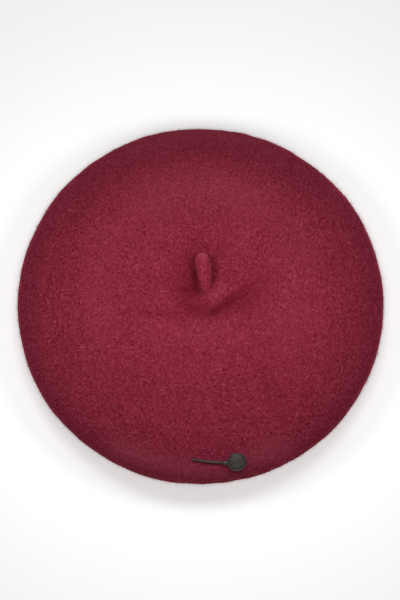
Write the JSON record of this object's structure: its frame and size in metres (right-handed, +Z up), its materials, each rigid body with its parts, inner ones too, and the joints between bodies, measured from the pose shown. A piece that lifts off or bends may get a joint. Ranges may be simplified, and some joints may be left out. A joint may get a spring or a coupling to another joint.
{
  "type": "beret",
  "caption": "Round soft felt cap with a domed crown, a rolled rim, a sewn felt stem, a leather sweatband and a small plain metal pin at the front edge.",
  "frame": {"origin": "centre of the head opening, on the plane of its edge, which the beret lies on", "axes": "+Z up through the crown, -Y to the front where the pin is, +X to the right as the crown is looked at with the front at the bottom"},
  "size_m": [0.28, 0.28, 0.0693],
  "materials": {
    "felt": "fulled wool felt with a short nap",
    "thread": "matte sewing thread",
    "leather": "soft grained sweatband leather",
    "dark_metal": "dark plated, worn bright on its edges",
    "steel": "drawn wire",
    "clutch_brass": "satin plated",
    "grip_rubber": "matte"
  },
  "bodies": {
    "beret": {"felt_shell": "felt", "stem_stitch": "thread", "sweatband": "leather", "sweatband_stitches": "thread", "sweatband_join_stitches": "thread", "pin_head": "dark_metal", "pin_post": "steel"},
    "stem": {"stem": "felt"},
    "clutch": {"pin_clutch": "clutch_brass", "clutch_grip": "grip_rubber"}
  },
  "joints": [
    {"name": "stem_tilt", "type": "hinge", "parent": "beret", "child": "stem", "pos_m": [0.0048, 0.0043, 0.05749], "axis": [0.9962, 0.0872, 0], "range_deg": [-4, 130], "stiffness_Nm_per_rad": 0.006},
    {"name": "clutch_slide", "type": "slide", "parent": "beret", "child": "clutch", "axis": [-0.1021, 0.4805, -0.871], "range_m": [0, 0.01]}
  ]
}
